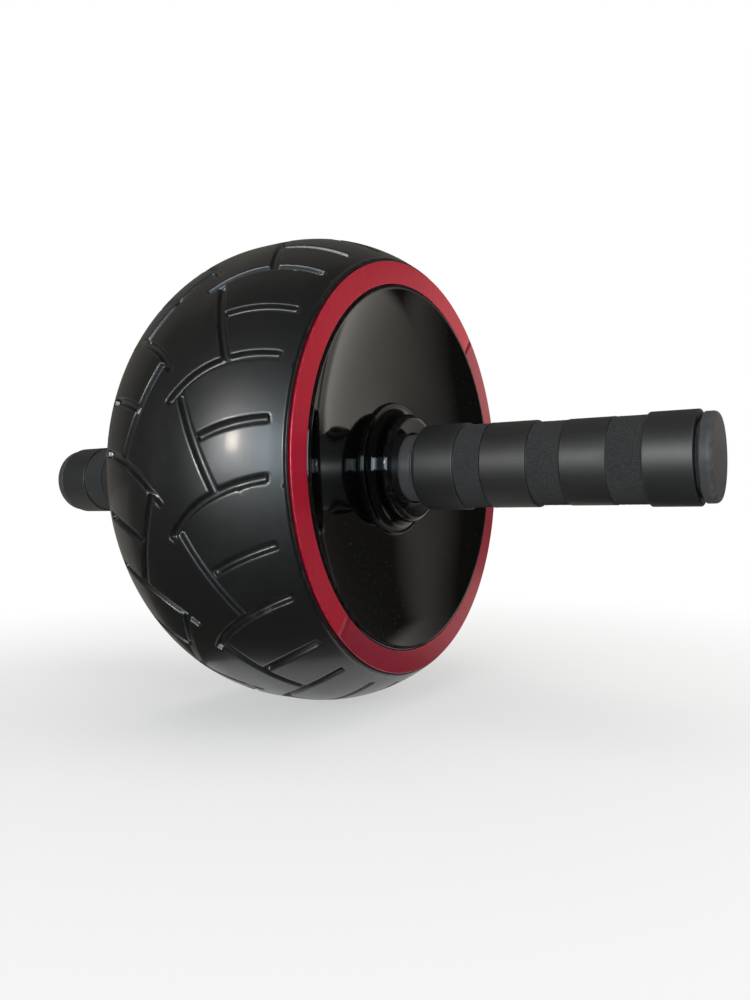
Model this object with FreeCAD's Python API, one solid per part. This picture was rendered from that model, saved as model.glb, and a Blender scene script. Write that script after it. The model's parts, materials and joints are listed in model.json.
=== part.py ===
import FreeCAD, Part
import math
import os

# Wide ab wheel roller: a rubber-tyred drum on ball bearings, with a foam handle on each side.
# Millimetres. The axle lies on Y, +Z is up, and the origin is the wheel's centre.

V = FreeCAD.Vector
AXLE = V(0, 1, 0)
ORIGIN = V(0, 0, 0)

# Tyre
tyre_radius = 95.0
tyre_half_width = 42.0
crown_flat = 8.0
crown_drop = 13.1
tread_thickness = 5.0
tyre_edge_round = 0.8

# Tread grooves, one unit per half; angles are measured from the middle of the unit
tread_units = 13
tread_phase_deg = 26.6
groove_width = 2.6
groove_depth = 2.0
shoulder_band = 5.0
half_shift_deg = 20.5
long_shoulder_deg = -15.8
long_middle_deg = -13.4
long_tip_deg = -4.0
long_middle_y = 22.0
long_tip_y = 1.0
diagonal_inner_deg = -6.2
diagonal_outer_deg = 14.6
diagonal_inner_y = 5.6
diagonal_outer_y = 20.8
short_shoulder_deg = -1.0
short_middle_deg = 0.6
short_inner_deg = 3.4
short_middle_y = 26.0
short_inner_y = 14.6

# Drum under the tyre, in two halves
drum_wall = 3.0
drum_flange_height = 12.0
drum_flange_thickness = 4.0
drum_tongue_width = 2.0
drum_tongue_height = 1.5
drum_tongue_clearance = 0.1
drum_screw_count = 6

# Screws in the drum and under the trim rings
screw_radius = 1.5
screw_head_radius = 2.5
screw_head_height = 2.0
screw_length = 12.0
screw_clearance = 0.15
thread_clearance = 0.05
screw_post_wall = 2.0
cover_screw_count = 6

# Trim ring on each side, in two halves
trim_inset = 0.9
trim_width = 8.6
trim_thickness = 1.0
trim_seam_deg = 138.0
trim_seam_gap_deg = 0.15
trim_clearance = 0.1

# Dished side cover
cover_rim_thickness = 4.0
cover_wall = 2.6
cover_lip_radius = 1.2
cover_lip_rise = 0.2
bowl_depth = 9.2
rib_count = 6
rib_thickness = 2.0
rib_depth = 5.0
rib_level_radius = 34.0

# Stepped boss in the middle of the cover
boss_proud = 1.8
boss_wall = 4.3
boss_front_wall = 3.3
boss_face_dip = 0.5
boss_nose_round = 2.4
boss_nose_fillet = 3.4
boss_step_width = 4.8
boss_step_height = 1.2
boss_step_round = 0.5
boss_foot_fillet = 0.4
boss_tail = 3.0
neck_gap = 0.6

# Ball bearing
bearing_bore = 15.0
bearing_od = 35.0
bearing_width = 11.0
ball_radius = 2.98
ball_count = 8
race_clearance = 0.07
ring_shoulder = 1.75
cage_thickness = 1.6
cage_rim = 0.6
pocket_clearance = 0.12
shield_thickness = 0.4
shield_recess = 0.5
shield_gap = 0.3
shield_step = 0.5
seat_clearance = 0.02

# Axle, spacer and handle fixings
spacer_wall = 2.4
axle_setback = 0.5
bolt_radius = 4.0
bolt_length = 25.0
bolt_head_radius = 7.0
bolt_head_height = 4.4
washer_radius = 8.5
washer_thickness = 1.6
washer_clearance = 0.3
tapped_extra = 3.0

# Handle core with its neck
core_radius = 12.7
core_overrun = 0.5
nose_wall = 2.6
nose_length = 1.0
neck_radius = 13.4
neck_show = 4.6
neck_groove_width = 0.6
neck_groove_depth = 0.4
neck_lip_rise = 1.0
neck_lip_length = 1.5
neck_lip_round = 0.6
core_pocket_radius = 10.2
core_pocket_depth = 9.6

# Foam grip: smooth skin bands with ground bands between them, listed from the neck outwards
smooth_bands = (17.9, 17.5, 16.0, 16.0)
smooth_radii = (16.8, 16.1, 15.6, 16.3)
ground_bands = (10.6, 12.1, 12.1)
ground_recess = 0.5
grip_start_round = 2.2
grip_end_round = 0.3

# End cap
cap_radius = 15.1
cap_length = 4.5
cap_flange_radius = 15.5
cap_flange_length = 0.8
cap_round = 3.0
cap_wall = 1.8
cap_plug_length = 5.0
cap_plug_clearance = 0.05

# Places along the axle and radii that follow from the sizes above
crown_arc = ((tyre_half_width - crown_flat / 2) ** 2 + crown_drop**2) / (2 * crown_drop)
drum_half_width = tyre_half_width - cover_rim_thickness
trim_outer_radius = tyre_radius - crown_drop - trim_inset
trim_inner_radius = trim_outer_radius - trim_width
boss_face_y = tyre_half_width + boss_proud
bearing_front_y = boss_face_y - boss_front_wall
bearing_back_y = bearing_front_y - bearing_width
bearing_middle_y = (bearing_front_y + bearing_back_y) / 2
axle_radius = bearing_bore / 2
bearing_radius = bearing_od / 2
ball_circle = (axle_radius + bearing_radius) / 2
inner_shoulder = ball_circle - ring_shoulder
outer_shoulder = ball_circle + ring_shoulder
neck_start_y = bearing_front_y + nose_length
lip_start_y = boss_face_y + neck_show
grip_start_y = lip_start_y + neck_lip_length
grip_end_y = grip_start_y + sum(smooth_bands) + sum(ground_bands)
core_end_y = grip_end_y + core_overrun
core_pocket_y = core_end_y - core_pocket_depth
axle_end_y = core_pocket_y - axle_setback
cap_start_y = core_end_y + cap_flange_length
cap_end_y = cap_start_y + cap_length


def crown(inset, along):
    """Radius of the barrel shape at a place along the axle, at a depth below the tread."""
    past_flat = max(abs(along) - crown_flat / 2, 0.0)
    return tyre_radius - crown_arc + math.sqrt((crown_arc - inset) ** 2 - past_flat**2)


def crown_turn(inset, along):
    """Angle of the barrel's arc, from the edge of the crown's flat to a place along the axle."""
    return math.asin(max(abs(along) - crown_flat / 2, 0.0) / (crown_arc - inset))


def crown_step(inset, start_y, end_y):
    """Arc step of an outline along the barrel shape, between two places on one side."""
    side = math.copysign(1.0, start_y + end_y)
    turn = (crown_turn(inset, start_y) + crown_turn(inset, end_y)) / 2
    reach = crown_arc - inset
    middle_radius = tyre_radius - crown_arc + reach * math.cos(turn)
    middle_y = side * (crown_flat / 2 + reach * math.sin(turn))
    return ((middle_radius, middle_y), (crown(inset, end_y), end_y))


rim_radius = crown(tread_thickness, drum_half_width)
cover_screw_circle = (trim_inner_radius + rim_radius) / 2
flange_radius = tyre_radius - tread_thickness - drum_wall
flange_screw_circle = flange_radius - drum_flange_height / 2
screw_post_radius = screw_radius + screw_post_wall
cover_screw_seat_y = tyre_half_width - screw_head_height - screw_clearance
lip_centre = (trim_inner_radius - trim_clearance - cover_lip_radius, tyre_half_width + cover_lip_rise)
bowl_floor_y = lip_centre[1] + cover_lip_radius - bowl_depth
boss_nose_radius = bearing_radius + boss_wall
boss_step_radius = boss_nose_radius + boss_step_width
boss_step_y = bowl_floor_y + boss_step_height


def arc_about(centre, radius, start_deg, end_deg):
    """Arc step of an outline about a centre, angles counted from outwards towards +Y."""
    points = []
    for angle in ((start_deg + end_deg) / 2, end_deg):
        turn = math.radians(angle)
        points.append((centre[0] + radius * math.cos(turn), centre[1] + radius * math.sin(turn)))
    return tuple(points)


def outline_face(start, *steps):
    """Face from a (radius, along) outline; a step is a point, or a (middle, end) pair for an arc."""
    edges = []
    here = V(*start)
    for step in steps + (start,):
        is_arc = isinstance(step[0], tuple)
        end = V(*step[1]) if is_arc else V(*step)
        if end.isEqual(here, 1e-6):
            continue
        curve = Part.Arc(here, V(*step[0]), end) if is_arc else Part.LineSegment(here, end)
        edges.append(curve.toShape())
        here = end
    return Part.Face(Part.Wire(edges))


def turned(start, *steps):
    """Solid turned about the axle from a (radius, along) outline."""
    return outline_face(start, *steps).revolve(ORIGIN, AXLE, 360)


def tube(inner_radius, outer_radius, start_y, end_y):
    """Plain round tube along the axle."""
    return turned(
        (inner_radius, start_y),
        (outer_radius, start_y),
        (outer_radius, end_y),
        (inner_radius, end_y),
    )


def rod(radius, start_y, end_y, circle_radius=0.0, angle_deg=0.0):
    """Round rod along the axle's direction, at an angle on a circle about the axle."""
    turn = math.radians(angle_deg)
    base = V(circle_radius * math.sin(turn), start_y, circle_radius * math.cos(turn))
    return Part.makeCylinder(radius, end_y - start_y, base, AXLE)


def fused(shapes):
    """One clean solid from touching shapes."""
    return shapes[0].fuse(shapes[1:]).removeSplitter()


def angles(count, start_deg=0.0):
    """Evenly spaced angles round the axle, counted from the top towards the front."""
    return [start_deg + 360.0 * k / count for k in range(count)]


def other_side(shape):
    """The same piece at the other end of the axle, turned half round about the upright."""
    return shape.rotated(ORIGIN, V(0, 0, 1), 180)


def save(name, shape):
    """Write one named piece, a solid or a group of separate solids."""
    shape.exportStep(os.path.join("parts", name + ".step"))
    print(name, len(shape.Solids), "solids", round(shape.Volume / 1000.0, 3), "cm3", shape.isValid())


def save_both_sides(name, shape):
    """Write a right-hand piece and its left-hand twin."""
    save(name + "_right", shape)
    save(name + "_left", other_side(shape))


def groove_point(angle_deg, along):
    """Point of a groove's middle line, on a flat sketch seen from above the crown."""
    return V(crown(0.0, along) * math.sin(math.radians(angle_deg)), along, 0)


def straight_groove(start, end):
    """Outline of a straight groove of the tread's groove width."""
    side = (end - start).cross(V(0, 0, 1)).normalize() * (groove_width / 2)
    return Part.Face(Part.makePolygon([start + side, end + side, end - side, start - side, start + side]))


def curved_groove(start, middle, end):
    """Outline of a groove of even width along an arc through three points."""
    centre = Part.Arc(start, middle, end).toShape().Curve.Center
    walls = []
    for offset in (-groove_width / 2, groove_width / 2):
        walls.append([point + (point - centre).normalize() * offset for point in (start, middle, end)])
    near, far = walls
    edges = [
        Part.Arc(*near).toShape(),
        Part.LineSegment(near[2], far[2]).toShape(),
        Part.Arc(*reversed(far)).toShape(),
        Part.LineSegment(far[0], near[0]).toShape(),
    ]
    return Part.Face(Part.Wire(edges))


def tread_unit():
    """Cutter for one unit of the right half: long curve, diagonal and short cross groove."""
    shoulder_y = tyre_half_width - shoulder_band
    long_curve = curved_groove(
        groove_point(long_shoulder_deg, shoulder_y),
        groove_point(long_middle_deg, long_middle_y),
        groove_point(long_tip_deg, long_tip_y),
    )
    diagonal = straight_groove(
        groove_point(diagonal_inner_deg, diagonal_inner_y),
        groove_point(diagonal_outer_deg, diagonal_outer_y),
    )
    short_cross = curved_groove(
        groove_point(short_shoulder_deg, shoulder_y),
        groove_point(short_middle_deg, short_middle_y),
        groove_point(short_inner_deg, short_inner_y),
    )
    above = tyre_radius + groove_depth
    prisms = [sketch.extrude(V(0, 0, above)) for sketch in (long_curve, diagonal, short_cross)]
    floor = turned(
        (tyre_radius - groove_depth, -groove_width),
        (tyre_radius - groove_depth, crown_flat / 2),
        crown_step(groove_depth, crown_flat / 2, tyre_half_width),
        (above, tyre_half_width),
        (above, -groove_width),
    )
    return fused(prisms).common(floor)


def make_tyre():
    """Barrel-shaped rubber tyre, hollow over the drum, with the grooves cut into its crown."""
    flat = crown_flat / 2
    edge_y = tyre_half_width - tyre_edge_round
    edge_radius = crown(tyre_edge_round, edge_y)
    edge_turn = crown_turn(tyre_edge_round, edge_y)
    edge_start_y = edge_y + tyre_edge_round * math.sin(edge_turn)
    edge_deg = math.degrees(edge_turn)
    body = turned(
        (tyre_radius, -flat),
        (tyre_radius, flat),
        crown_step(0.0, flat, edge_start_y),
        arc_about((edge_radius, edge_y), tyre_edge_round, edge_deg, 90),
        (rim_radius, tyre_half_width),
        (rim_radius, drum_half_width),
        crown_step(tread_thickness, drum_half_width, flat),
        (tyre_radius - tread_thickness, -flat),
        crown_step(tread_thickness, -flat, -drum_half_width),
        (rim_radius, -tyre_half_width),
        (edge_radius, -tyre_half_width),
        arc_about((edge_radius, -edge_y), tyre_edge_round, -90, -edge_deg),
        crown_step(0.0, -edge_start_y, -flat),
    )
    right_unit = tread_unit()
    left_unit = right_unit.mirror(ORIGIN, AXLE)
    left_start_deg = tread_phase_deg + half_shift_deg
    cutters = [right_unit.rotated(ORIGIN, AXLE, turn) for turn in angles(tread_units, tread_phase_deg)]
    cutters += [left_unit.rotated(ORIGIN, AXLE, turn) for turn in angles(tread_units, left_start_deg)]
    return body.cut(cutters)


def barrel(inset):
    """Solid right half of the barrel shape under the tread, from the middle plane to the drum's end."""
    flat = crown_flat / 2
    return turned(
        (0, 0),
        (tyre_radius - inset, 0),
        (tyre_radius - inset, flat),
        crown_step(inset, flat, drum_half_width),
        (0, drum_half_width),
    )


def screw_hole(radius, start_y, end_y, circle_radius, start_deg, count):
    """Ring of round holes along the axle's direction."""
    return [rod(radius, start_y, end_y, circle_radius, turn) for turn in angles(count, start_deg)]


def screws(seat_y, direction, circle_radius, start_deg, count):
    """Ring of pan-head screws whose heads sit at a place along the axle and point outwards from it."""
    group = []
    for turn in angles(count, start_deg):
        head_end = seat_y + direction * screw_head_height
        tip = seat_y - direction * screw_length
        head = rod(screw_head_radius, min(seat_y, head_end), max(seat_y, head_end), circle_radius, turn)
        shank = rod(screw_radius, min(seat_y, tip), max(seat_y, tip), circle_radius, turn)
        group.append(fused([head, shank]))
    return Part.makeCompound(group)


cover_screw_start_deg = 180.0 / cover_screw_count


def drum_shell():
    """Right drum half without its joint to the other half: wall, inner flange and cover screw posts."""
    outside = barrel(tread_thickness)
    inside = barrel(tread_thickness + drum_wall)
    tip_y = cover_screw_seat_y - screw_length
    flange = tube(flange_radius - drum_flange_height, flange_radius, 0, drum_flange_thickness)
    posts = screw_hole(
        screw_post_radius,
        tip_y - screw_post_wall,
        drum_half_width,
        cover_screw_circle,
        cover_screw_start_deg,
        cover_screw_count,
    )
    pilots = screw_hole(
        screw_radius + thread_clearance,
        tip_y - thread_clearance,
        drum_half_width,
        cover_screw_circle,
        cover_screw_start_deg,
        cover_screw_count,
    )
    wall = outside.cut(inside)
    return fused([wall, flange] + [post.common(outside) for post in posts]).cut(pilots)


def make_drum():
    """The two drum halves: a tongue on the left one seats in a groove of the right one."""
    shell = drum_shell()
    tip_y = screw_length - drum_flange_thickness
    posts = screw_hole(
        screw_post_radius, 0, tip_y + screw_post_wall, flange_screw_circle, 0, drum_screw_count
    )
    pilots = screw_hole(
        screw_radius + thread_clearance, 0, tip_y + thread_clearance, flange_screw_circle, 0, drum_screw_count
    )
    passages = screw_hole(
        screw_radius + screw_clearance, -drum_flange_thickness, 0, flange_screw_circle, 0, drum_screw_count
    )
    tongue = tube(flange_radius - drum_tongue_width, flange_radius, 0, drum_tongue_height)
    groove = tube(
        flange_radius - drum_tongue_width - drum_tongue_clearance,
        flange_radius + drum_tongue_clearance,
        0,
        drum_tongue_height + drum_tongue_clearance,
    )
    right = fused([shell] + posts).cut(pilots + [groove])
    left = fused([other_side(shell).cut(passages), tongue])
    return left, right


def make_cover():
    """Dished right cover: rim, rolled lip, round bowl, stepped boss with the bearing pocket, and ribs."""
    seat_radius = trim_inner_radius - trim_clearance
    hub_radius = boss_step_radius - cover_wall
    reach = lip_centre[0] - hub_radius
    bowl_arc = (reach**2 + bowl_depth**2) / (2 * bowl_depth) - cover_lip_radius
    lean_deg = math.degrees(math.asin(reach / (bowl_arc + cover_lip_radius)))
    bowl_centre = (hub_radius, bowl_floor_y + bowl_arc)
    back_deg = math.degrees(math.acos((bowl_centre[1] - drum_half_width) / (bowl_arc + cover_wall)))
    rib_deg = math.degrees(math.acos((bowl_centre[1] - drum_half_width) / (bowl_arc + cover_wall / 2)))
    back_y = bowl_floor_y - cover_wall
    tail_y = bearing_back_y - boss_tail
    core_y = boss_step_y - cover_wall
    foot_reach = bowl_arc - boss_foot_fillet
    foot_turn = math.asin((boss_step_radius + boss_foot_fillet - hub_radius) / foot_reach)
    foot_deg = math.degrees(foot_turn)
    foot_centre = (boss_step_radius + boss_foot_fillet, bowl_centre[1] - foot_reach * math.cos(foot_turn))
    hollow = boss_nose_fillet
    step_centre = (boss_step_radius - boss_step_round, boss_step_y - boss_step_round)
    nose_centre = (boss_nose_radius - boss_nose_round, boss_face_y - boss_nose_round)
    body = turned(
        (rim_radius, drum_half_width),
        (rim_radius, tyre_half_width),
        (seat_radius, tyre_half_width),
        (seat_radius, lip_centre[1]),
        arc_about(lip_centre, cover_lip_radius, 0, 90 + lean_deg),
        arc_about(bowl_centre, bowl_arc, lean_deg - 90, foot_deg - 90),
        arc_about(foot_centre, boss_foot_fillet, foot_deg - 90, -180),
        (boss_step_radius, step_centre[1]),
        arc_about(step_centre, boss_step_round, 0, 90),
        (boss_nose_radius + hollow, boss_step_y),
        arc_about((boss_nose_radius + hollow, boss_step_y + hollow), hollow, -90, -180),
        (boss_nose_radius, nose_centre[1]),
        arc_about(nose_centre, boss_nose_round, 0, 90),
        (neck_radius + neck_gap, boss_face_y - boss_face_dip),
        (neck_radius + neck_gap, bearing_front_y),
        (bearing_radius, bearing_front_y),
        (bearing_radius, tail_y),
        (bearing_radius + cover_wall, tail_y),
        (bearing_radius + cover_wall, core_y),
        (hub_radius, core_y),
        (hub_radius, back_y),
        arc_about(bowl_centre, bowl_arc + cover_wall, -90, back_deg - 90),
    )
    rib_zone = turned(
        (bearing_radius + cover_wall / 2, back_y + cover_wall / 2),
        (hub_radius, back_y + cover_wall / 2),
        arc_about(bowl_centre, bowl_arc + cover_wall / 2, -90, rib_deg - 90),
        (rib_level_radius, back_y - rib_depth),
        (bearing_radius + cover_wall / 2, back_y - rib_depth),
    )
    slab = Part.makeBox(rib_thickness, tyre_half_width, tyre_radius, V(-rib_thickness / 2, 0, 0))
    ribs = [slab.rotated(ORIGIN, AXLE, turn).common(rib_zone) for turn in angles(rib_count)]
    passages = screw_hole(
        screw_radius + screw_clearance,
        drum_half_width,
        tyre_half_width,
        cover_screw_circle,
        cover_screw_start_deg,
        cover_screw_count,
    )
    sinks = screw_hole(
        screw_head_radius + screw_clearance,
        cover_screw_seat_y,
        tyre_half_width,
        cover_screw_circle,
        cover_screw_start_deg,
        cover_screw_count,
    )
    return fused([body] + ribs).cut(passages + sinks)


def trim_half(start_deg):
    """Half of a right trim ring, between its two seams."""
    section = outline_face(
        (trim_inner_radius, tyre_half_width),
        (trim_outer_radius, tyre_half_width),
        (trim_outer_radius, tyre_half_width + trim_thickness),
        (trim_inner_radius, tyre_half_width + trim_thickness),
    )
    half = section.revolve(ORIGIN, AXLE, 180 - trim_seam_gap_deg)
    return half.rotated(ORIGIN, AXLE, start_deg - 90 + trim_seam_gap_deg / 2)


def race():
    """Round track that the balls of the right bearing run in."""
    return Part.makeTorus(ball_circle, ball_radius + race_clearance, V(0, bearing_middle_y, 0), AXLE)


def make_outer_ring():
    """Outer ring of the right bearing, stepped at both faces for the shields."""
    step_depth = shield_recess + shield_thickness
    shield_seat = outer_shoulder + shield_step
    body = turned(
        (shield_seat, bearing_back_y),
        (bearing_radius - seat_clearance, bearing_back_y),
        (bearing_radius - seat_clearance, bearing_front_y),
        (shield_seat, bearing_front_y),
        (shield_seat, bearing_front_y - step_depth),
        (outer_shoulder, bearing_front_y - step_depth),
        (outer_shoulder, bearing_back_y + step_depth),
        (shield_seat, bearing_back_y + step_depth),
    )
    return body.cut(race())


def make_shields():
    """The two thin shields of the right bearing, held in the outer ring."""
    shields = []
    for inner_face in (bearing_front_y - shield_recess - shield_thickness, bearing_back_y + shield_recess):
        shields.append(
            tube(
                inner_shoulder + shield_gap,
                outer_shoulder + shield_step,
                inner_face,
                inner_face + shield_thickness,
            )
        )
    return Part.makeCompound(shields)


def make_inner_ring():
    """Inner ring of the right bearing, on the axle."""
    return tube(axle_radius + seat_clearance, inner_shoulder, bearing_back_y, bearing_front_y).cut(race())


def ball_centre(angle_deg):
    """Place of one ball of the right bearing."""
    turn = math.radians(angle_deg)
    return V(ball_circle * math.sin(turn), bearing_middle_y, ball_circle * math.cos(turn))


def make_balls():
    """Balls of the right bearing."""
    return Part.makeCompound([Part.makeSphere(ball_radius, ball_centre(turn)) for turn in angles(ball_count)])


def make_cage():
    """Cage that spaces the balls of the right bearing, with a round pocket for each."""
    pocket_radius = ball_radius + pocket_clearance
    half_width = pocket_radius + cage_rim
    ring = tube(
        ball_circle - cage_thickness / 2,
        ball_circle + cage_thickness / 2,
        bearing_middle_y - half_width,
        bearing_middle_y + half_width,
    )
    centre = V(0, bearing_middle_y, 0)
    pockets = []
    for turn in angles(ball_count):
        outwards = ball_centre(turn) - centre
        pockets.append(Part.makeCylinder(pocket_radius, bearing_radius, centre, outwards))
    return ring.cut(pockets)


bolt_seat_y = core_pocket_y + washer_thickness


def make_axle():
    """Steel bar through the wheel, tapped at both ends for the handle bolts."""
    bar = rod(axle_radius, -axle_end_y, axle_end_y)
    hole_end_y = bolt_seat_y - bolt_length - tapped_extra
    hole = rod(bolt_radius + thread_clearance, hole_end_y, axle_end_y)
    return bar.cut([hole, other_side(hole)])


def make_bolt():
    """Round-headed bolt that clamps the right handle core to the axle."""
    head = rod(bolt_head_radius, bolt_seat_y, bolt_seat_y + bolt_head_height)
    shank = rod(bolt_radius, bolt_seat_y - bolt_length, bolt_seat_y)
    return fused([head, shank])


def make_core():
    """Right handle core: nose against the bearing, neck with its groove and lip, tube and end pocket."""
    bore = axle_radius + seat_clearance
    lip_radius = neck_radius + neck_lip_rise
    lip_round_radius = lip_radius - neck_lip_round
    groove_floor = neck_radius - neck_groove_depth
    return turned(
        (bore, bearing_front_y),
        (axle_radius + nose_wall, bearing_front_y),
        (axle_radius + nose_wall, neck_start_y),
        (neck_radius, neck_start_y),
        (neck_radius, lip_start_y - neck_groove_width),
        (groove_floor, lip_start_y - neck_groove_width),
        (groove_floor, lip_start_y),
        (lip_round_radius, lip_start_y),
        arc_about((lip_round_radius, lip_start_y + neck_lip_round), neck_lip_round, -90, 0),
        (lip_radius, grip_start_y - neck_lip_round),
        arc_about((lip_round_radius, grip_start_y - neck_lip_round), neck_lip_round, 0, 90),
        (core_radius, grip_start_y),
        (core_radius, core_end_y),
        (core_pocket_radius, core_end_y),
        (core_pocket_radius, core_pocket_y),
        (bore, core_pocket_y),
    )


def make_grip():
    """Right foam sleeve: smooth bands, slimmest in the hand, with ground bands sunk between them."""
    bore = core_radius + seat_clearance
    start_centre = (smooth_radii[0] - grip_start_round, grip_start_y + grip_start_round)
    steps = [(start_centre[0], grip_start_y), arc_about(start_centre, grip_start_round, -90, 0)]
    along = grip_start_y
    for band, ground_band in enumerate(ground_bands):
        radius, next_radius = smooth_radii[band : band + 2]
        ground_radius = (radius + next_radius) / 2 - ground_recess
        along += smooth_bands[band]
        steps += [(radius, along), (ground_radius, along)]
        along += ground_band
        steps += [(ground_radius, along), (next_radius, along)]
    end_centre = (smooth_radii[-1] - grip_end_round, grip_end_y - grip_end_round)
    steps += [
        (smooth_radii[-1], end_centre[1]),
        arc_about(end_centre, grip_end_round, 0, 90),
        (bore, grip_end_y),
    ]
    return turned((bore, grip_start_y), *steps)


def make_cap():
    """Right end cap: flange, round head with a softened rim, and a hollow plug in the core's end pocket."""
    plug_radius = core_pocket_radius - cap_plug_clearance
    plug_bore = plug_radius - cap_wall
    return turned(
        (plug_bore, core_end_y - cap_plug_length),
        (plug_radius, core_end_y - cap_plug_length),
        (plug_radius, core_end_y),
        (cap_flange_radius, core_end_y),
        (cap_flange_radius, cap_start_y),
        (cap_radius, cap_start_y),
        (cap_radius, cap_end_y - cap_round),
        arc_about((cap_radius - cap_round, cap_end_y - cap_round), cap_round, 0, 90),
        (0, cap_end_y),
        (0, cap_end_y - cap_wall),
        (plug_bore, cap_end_y - cap_wall),
    )


os.makedirs("parts", exist_ok=True)

# The wheel, which turns on the axle
save("tyre", make_tyre())
drum_left, drum_right = make_drum()
save("drum_left", drum_left)
save("drum_right", drum_right)
save("drum_screws", screws(-drum_flange_thickness, -1, flange_screw_circle, 0, drum_screw_count))
save_both_sides("cover", make_cover())
cover_screws = screws(cover_screw_seat_y, 1, cover_screw_circle, cover_screw_start_deg, cover_screw_count)
save_both_sides("cover_screws", cover_screws)
save_both_sides("trim_front", trim_half(trim_seam_deg - 180))
save_both_sides("trim_rear", trim_half(trim_seam_deg))
save_both_sides("bearing_outer_ring", make_outer_ring())
save_both_sides("bearing_shields", make_shields())

# The balls and cages, which roll between the rings
save_both_sides("bearing_balls", make_balls())
save_both_sides("bearing_cage", make_cage())

# The axle with the handles
save_both_sides("bearing_inner_ring", make_inner_ring())
save("axle", make_axle())
spacer_radius = axle_radius + spacer_wall
save("spacer_sleeve", tube(axle_radius + seat_clearance, spacer_radius, -bearing_back_y, bearing_back_y))
save_both_sides("handle_core", make_core())
save_both_sides("foam_grip", make_grip())
washer_bore = bolt_radius + washer_clearance
save_both_sides("handle_washer", tube(washer_bore, washer_radius, core_pocket_y, bolt_seat_y))
save_both_sides("handle_bolt", make_bolt())
save_both_sides("end_cap", make_cap())
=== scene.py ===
# %% [markdown]
# An ab wheel roller: a wide barrel-shaped rubber tyre on a bearing-mounted axle, dished glossy
# side covers with red trim rings, and a banded foam handle on each side. The CAD model is the fixed
# frame. This file gives each visible piece its smooth shape and its finish around that frame.

# %% Load the frame
import json
import math

import bmesh
import bpy
import numpy as np
from mathutils import Matrix, Vector
from mathutils.geometry import delaunay_2d_cdt


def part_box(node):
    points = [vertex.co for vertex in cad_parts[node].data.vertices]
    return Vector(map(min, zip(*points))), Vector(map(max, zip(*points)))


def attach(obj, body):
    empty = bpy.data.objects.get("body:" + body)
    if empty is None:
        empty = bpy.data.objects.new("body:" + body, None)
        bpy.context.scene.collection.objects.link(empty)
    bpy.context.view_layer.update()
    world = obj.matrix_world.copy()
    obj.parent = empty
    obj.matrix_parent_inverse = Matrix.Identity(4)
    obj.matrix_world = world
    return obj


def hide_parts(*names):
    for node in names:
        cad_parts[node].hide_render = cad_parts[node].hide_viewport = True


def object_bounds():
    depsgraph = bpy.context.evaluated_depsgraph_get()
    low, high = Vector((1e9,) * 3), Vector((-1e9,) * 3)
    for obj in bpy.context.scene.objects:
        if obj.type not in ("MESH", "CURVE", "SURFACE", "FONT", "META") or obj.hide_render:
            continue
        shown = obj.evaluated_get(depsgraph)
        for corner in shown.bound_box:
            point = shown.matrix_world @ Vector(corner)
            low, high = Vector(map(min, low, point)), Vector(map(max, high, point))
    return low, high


MM = 0.001
scene = bpy.context.scene
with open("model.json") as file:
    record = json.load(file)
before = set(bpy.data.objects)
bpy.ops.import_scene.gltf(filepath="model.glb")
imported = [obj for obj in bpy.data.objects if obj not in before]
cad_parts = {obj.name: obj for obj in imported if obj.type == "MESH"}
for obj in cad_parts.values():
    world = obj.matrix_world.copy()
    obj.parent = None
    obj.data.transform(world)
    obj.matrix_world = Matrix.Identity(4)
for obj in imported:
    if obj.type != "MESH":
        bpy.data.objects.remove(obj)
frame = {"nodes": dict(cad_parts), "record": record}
cad_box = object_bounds()


def reach(node):
    """Highest corner of a CAD node in millimetres, with its lowest place along the axle."""
    low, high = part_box(node)
    return high.x / MM, high.y / MM, high.z / MM, low.y / MM


def placed(name, data):
    """New object in the scene, at the origin."""
    thing = bpy.data.objects.new(name, data)
    scene.collection.objects.link(thing)
    return thing


# %% [markdown]
# The camera stands low in front of the wheel, a little to its right, and looks level. Its place, aim,
# roll and lens were fitted to the edges of the ring, the tyre and the grips in the photograph.

# %% Camera
camera_place = Vector((289.8, 202.77, -14.72)) * MM
camera_aim = Vector((8.79, 29.78, -12.61)) * MM
camera_roll = math.radians(-0.594)
camera_lens_mm = 29.644

camera_data = bpy.data.cameras.new("camera")
camera_data.lens = camera_lens_mm
camera_data.clip_start = 0.01
camera = placed("camera", camera_data)
look = (camera_aim - camera_place).to_track_quat("-Z", "Y").to_matrix()
turned_look = look @ Matrix.Rotation(camera_roll, 3, "Z")
camera.matrix_world = Matrix.Translation(camera_place) @ turned_look.to_4x4()
scene.camera = camera
scene.view_settings.view_transform = "Standard"
print("camera:", [round(x, 3) for x in camera_place], "lens", camera_lens_mm, "mm")

# %% [markdown]
# The stage is a pale floor under soft light. Rays that reach the camera or mirror in the gloss see a
# plain white surround. The light that falls on the object is kept apart from it, at a plain level.

# %% Node helpers
def join(tree, value, socket):
    """Give an input its value: a socket is linked, anything else is set."""
    if isinstance(value, bpy.types.NodeSocket):
        tree.links.new(value, socket)
    else:
        socket.default_value = value


def fill(tree, node, **sockets):
    """Join input sockets by name, with underscores for spaces."""
    for label, value in sockets.items():
        join(tree, value, node.inputs[label.replace("_", " ")])
    return node


def add(tree, kind, **sockets):
    """New node of a kind, with its inputs joined by name."""
    return fill(tree, tree.nodes.new(kind), **sockets)


def operate(tree, kind, operation, *values):
    """New node that works on values in their order."""
    node = tree.nodes.new(kind)
    node.operation = operation
    for socket, value in zip(node.inputs, values):
        join(tree, value, socket)
    return node


def calculate(tree, operation, *values, clamp=False):
    """Math node in a shader or geometry tree; returns its output socket."""
    node = operate(tree, "ShaderNodeMath", operation, *values)
    node.use_clamp = clamp
    return node.outputs[0]


def vary(tree, share, base, by):
    """A base value that a share raises by up to an amount."""
    return calculate(tree, "MULTIPLY_ADD", share, by, base)


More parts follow.
